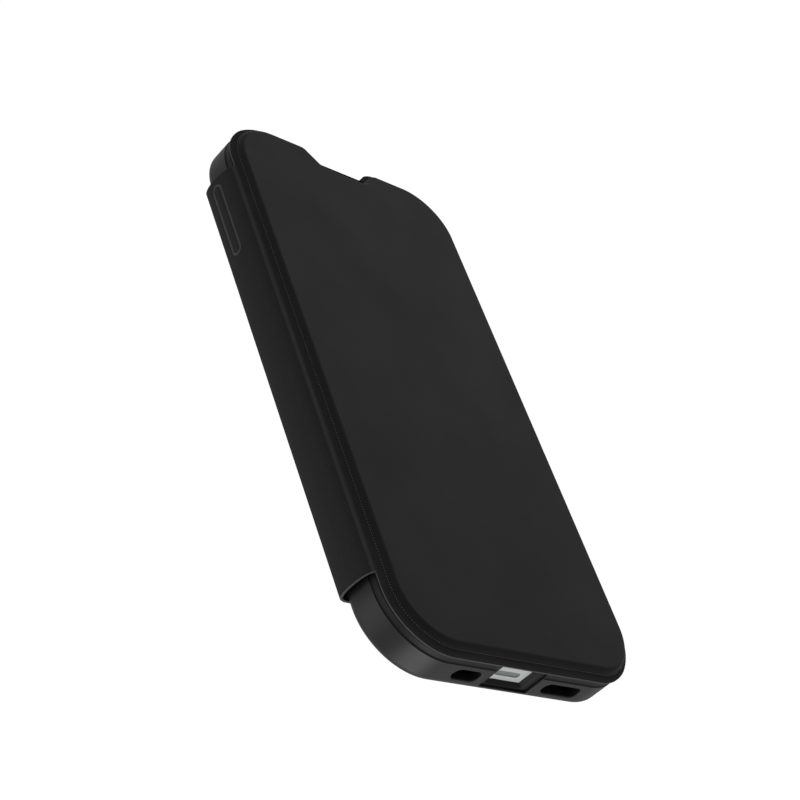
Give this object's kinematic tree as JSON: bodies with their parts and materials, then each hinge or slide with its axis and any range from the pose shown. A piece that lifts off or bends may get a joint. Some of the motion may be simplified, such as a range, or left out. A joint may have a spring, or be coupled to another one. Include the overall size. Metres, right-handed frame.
{
  "type": "phone wallet case",
  "caption": "Slim folio phone case: hard tray, soft sleeve and a cloth-hinged cover with a raised panel and a card pocket inside.",
  "frame": {"origin": "centre of the bounding box in plan, at the back face that the closed case rests on", "axes": "+Z from the back to the front cover, +Y along the length from the charging end to the earpiece end, +X from the spine to the free edge"},
  "size_m": [0.0774, 0.1508, 0.0134],
  "materials": {
    "shell_plastic": "satin moulded polycarbonate",
    "sleeve_rubber": "matte moulded elastomer",
    "microfibre": "brushed microfibre",
    "ring_plastic": "fine matte",
    "folio_cloth": "coated cloth with a fine woven grain",
    "panel_softtouch": "soft-touch coating",
    "adhesive": "film",
    "port_metal": "bead-blasted",
    "keeper_steel": "plain",
    "magnet_nickel": "nickel plated",
    "board": "pressed board",
    "pocket_cloth": "smooth coated fabric",
    "button_rubber": "satin moulded elastomer"
  },
  "bodies": {
    "shell": {"outer_shell": "shell_plastic", "inner_sleeve": "sleeve_rubber", "back_lining": "microfibre", "camera_guard_ring": "ring_plastic", "back_flap": "folio_cloth", "flap_adhesive": "adhesive", "back_fold_strip": "folio_cloth", "charging_port_trim": "port_metal", "closure_keepers": "keeper_steel"},
    "spine": {"spine_skin": "folio_cloth", "spine_stiffener": "board", "spine_lining": "microfibre"},
    "cover": {"front_fold_strip": "folio_cloth", "cover_skin": "folio_cloth", "front_panel": "panel_softtouch", "panel_welt": "folio_cloth", "cover_board": "board", "card_spacer": "board", "cover_magnets": "magnet_nickel", "cover_lining": "microfibre", "pocket_panel": "pocket_cloth"},
    "power_key": {"power_button": "button_rubber"},
    "volume_up_key": {"volume_up_button": "button_rubber"},
    "volume_down_key": {"volume_down_button": "button_rubber"}
  },
  "joints": [
    {"name": "spine_fold", "type": "hinge", "parent": "shell", "child": "spine", "pos_m": [-0.03782, 0, 0.0006], "axis": [0, -1, 0], "range_deg": [0, 180]},
    {"name": "cover_fold", "type": "hinge", "parent": "spine", "child": "cover", "pos_m": [-0.03832, 0, 0.0106], "axis": [0, -1, 0], "range_deg": [0, 180]},
    {"name": "power_press", "type": "slide", "parent": "shell", "child": "power_key", "axis": [-1, 0, 0], "range_m": [0, 0.0003], "stiffness_N_per_m": 900, "springref_m": -0.0002},
    {"name": "volume_up_press", "type": "slide", "parent": "shell", "child": "volume_up_key", "axis": [1, 0, 0], "range_m": [0, 0.0003], "stiffness_N_per_m": 900, "springref_m": -0.0002},
    {"name": "volume_down_press", "type": "slide", "parent": "shell", "child": "volume_down_key", "axis": [1, 0, 0], "range_m": [0, 0.0003], "stiffness_N_per_m": 900, "springref_m": -0.0002}
  ]
}
